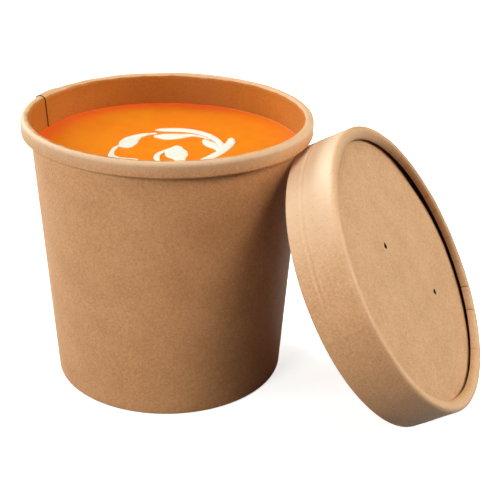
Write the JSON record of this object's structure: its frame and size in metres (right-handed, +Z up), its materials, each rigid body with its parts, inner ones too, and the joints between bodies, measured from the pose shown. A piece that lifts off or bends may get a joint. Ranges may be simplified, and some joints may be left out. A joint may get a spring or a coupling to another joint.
{
  "type": "takeaway soup container",
  "caption": "Round kraft paper cup with a rolled rim, filled with orange soup drizzled with cream, and its recessed vented paper lid leaning on its side.",
  "frame": {"origin": "centre of the whole object's bounding box in plan, on the surface that it stands on", "axes": "+Z up along the cup's axis, +X towards the side where the lid leans, -Y towards the viewer"},
  "size_m": [0.1912, 0.1524, 0.1119],
  "materials": {
    "cup_paper": "matte",
    "base_paper": "matte",
    "soup": "gloss",
    "lid_paper": "matte",
    "panel_paper": "matte"
  },
  "bodies": {
    "root": {"cup_wall": "cup_paper", "cup_base": "base_paper", "soup": "soup", "lid_ring": "lid_paper", "lid_panel": "panel_paper"}
  },
  "joints": []
}
